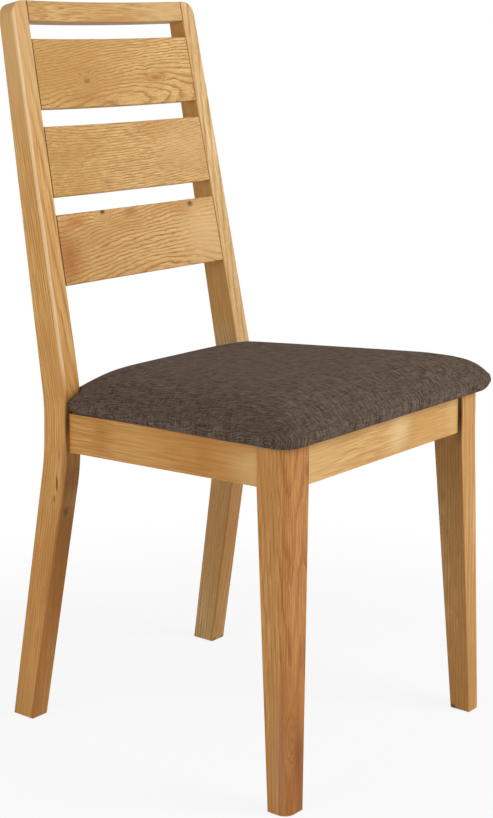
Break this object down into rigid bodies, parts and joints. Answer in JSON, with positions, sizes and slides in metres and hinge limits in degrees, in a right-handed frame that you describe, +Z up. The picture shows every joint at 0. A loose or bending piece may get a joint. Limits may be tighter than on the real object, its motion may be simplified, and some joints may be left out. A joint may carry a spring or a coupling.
{
  "type": "dining chair",
  "caption": "Oak dining chair with a raked, bowed slat back, tapered legs and an overhanging fabric seat pad.",
  "frame": {"origin": "on the floor, under the middle of the bounding box", "axes": "+Z up, -Y towards the way the sitter faces, +X towards the sitter's left"},
  "size_m": [0.4744, 0.546, 0.9817],
  "materials": {
    "oak": "satin",
    "beech": "matte",
    "plywood": "matte",
    "seat_fabric": "matte",
    "foam": "matte",
    "dust_cloth": "matte",
    "glide_plastic": "matte",
    "steel": "satin"
  },
  "bodies": {
    "root": {"post_left": "oak", "post_right": "oak", "front_leg_left": "oak", "front_leg_right": "oak", "rail_side_left": "oak", "rail_side_right": "oak", "rail_front": "oak", "rail_rear": "oak", "crest_rail": "oak", "slat_upper": "oak", "slat_middle": "oak", "slat_lower": "oak", "corner_block_front_left": "beech", "corner_block_front_right": "beech", "corner_block_rear_left": "beech", "corner_block_rear_right": "beech", "frame_dowels": "beech", "crest_dowels": "beech", "block_screws": "steel", "seat_screws": "steel", "dust_cover_staples": "steel", "foot_glides": "glide_plastic", "seat_board": "plywood", "seat_foam": "foam", "seat_cover": "seat_fabric", "dust_cover": "dust_cloth"}
  },
  "joints": []
}
